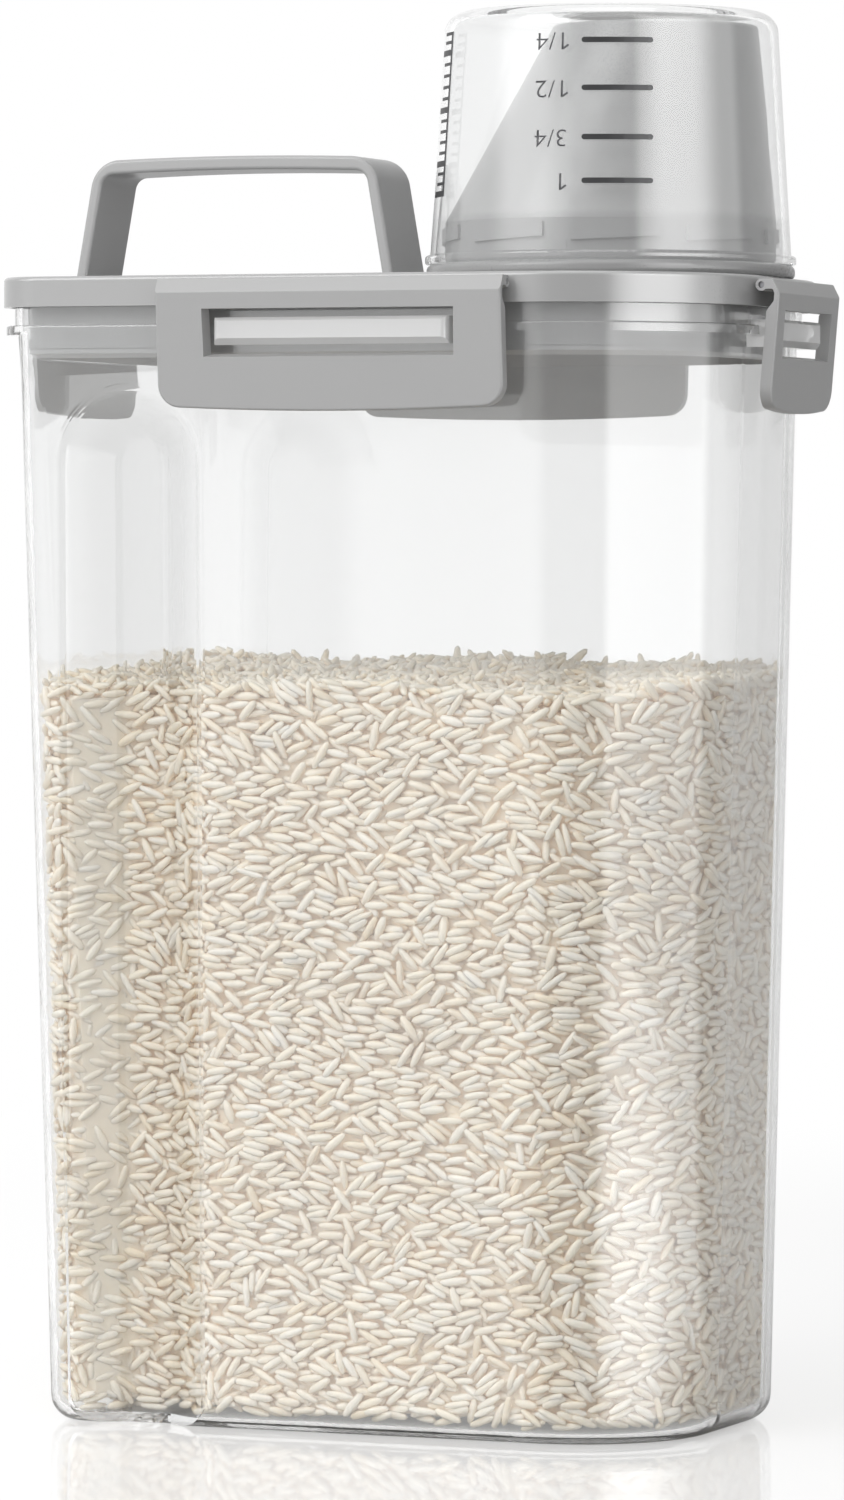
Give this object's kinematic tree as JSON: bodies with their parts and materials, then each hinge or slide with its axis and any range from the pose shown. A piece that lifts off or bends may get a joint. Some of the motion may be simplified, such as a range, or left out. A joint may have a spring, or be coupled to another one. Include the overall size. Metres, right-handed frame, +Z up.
{
  "type": "rice storage container",
  "caption": "Tall clear food tub with a round end, a latched grey lid, a strap handle, and a pouring spout under an upturned clear measuring cup.",
  "frame": {"origin": "on the surface that the tub stands on, under the middle of the whole container's box", "axes": "+Z up; X along the long side, with the handle at -X and the spout and cup at +X; -Y is the pictured front"},
  "size_m": [0.1774, 0.1222, 0.3105],
  "materials": {
    "clear_tub": "clear gloss",
    "clear_cup": "clear gloss",
    "grey_lid": "fine satin",
    "grey_flap": "fine satin",
    "grey_handle": "fine satin",
    "grey_spout": "fine satin",
    "soft_seal": "satin silicone",
    "steel_pin": "bright drawn"
  },
  "bodies": {
    "tub": {"tub": "clear_tub"},
    "lid": {"lid": "grey_lid", "lid_gasket": "soft_seal", "handle": "grey_handle", "pour_spout": "grey_spout", "front_flap_pin": "steel_pin", "back_flap_pin": "steel_pin", "left_flap_pin": "steel_pin", "right_flap_pin": "steel_pin"},
    "front_flap": {"front_flap": "grey_flap"},
    "back_flap": {"back_flap": "grey_flap"},
    "left_flap": {"left_flap": "grey_flap"},
    "right_flap": {"right_flap": "grey_flap"},
    "cup_seal": {"cup_seal": "soft_seal"},
    "measuring_cup": {"measuring_cup": "clear_cup"}
  },
  "joints": [
    {"name": "lid_lift", "type": "slide", "parent": "tub", "child": "lid", "axis": [0, 0, 1], "range_m": [0, 0.025]},
    {"name": "front_flap_hinge", "type": "hinge", "parent": "lid", "child": "front_flap", "pos_m": [0, -0.05691, 0.24989], "axis": [-1, 0, 0], "range_deg": [0, 90]},
    {"name": "back_flap_hinge", "type": "hinge", "parent": "lid", "child": "back_flap", "pos_m": [0, 0.05691, 0.24989], "axis": [1, 0, 0], "range_deg": [0, 90]},
    {"name": "left_flap_hinge", "type": "hinge", "parent": "lid", "child": "left_flap", "pos_m": [-0.08456, 0, 0.24989], "axis": [0, 1, 0], "range_deg": [0, 90]},
    {"name": "right_flap_hinge", "type": "hinge", "parent": "lid", "child": "right_flap", "pos_m": [0.08456, 0, 0.24989], "axis": [0, -1, 0], "range_deg": [0, 90]},
    {"name": "cup_turn", "type": "hinge", "parent": "lid", "child": "cup_seal", "pos_m": [0.0424, 0, 0.2521], "axis": [0, 0, -1], "range_deg": [0, 28]},
    {"name": "cup_lift", "type": "slide", "parent": "cup_seal", "child": "measuring_cup", "axis": [0, 0, 1], "range_m": [0, 0.06]}
  ],
  "couplings": [
    {"joint": "front_flap_hinge", "follows": "lid_lift", "rad_per_m": 62.8},
    {"joint": "back_flap_hinge", "follows": "lid_lift", "rad_per_m": 62.8},
    {"joint": "left_flap_hinge", "follows": "lid_lift", "rad_per_m": 62.8},
    {"joint": "right_flap_hinge", "follows": "lid_lift", "rad_per_m": 62.8}
  ]
}
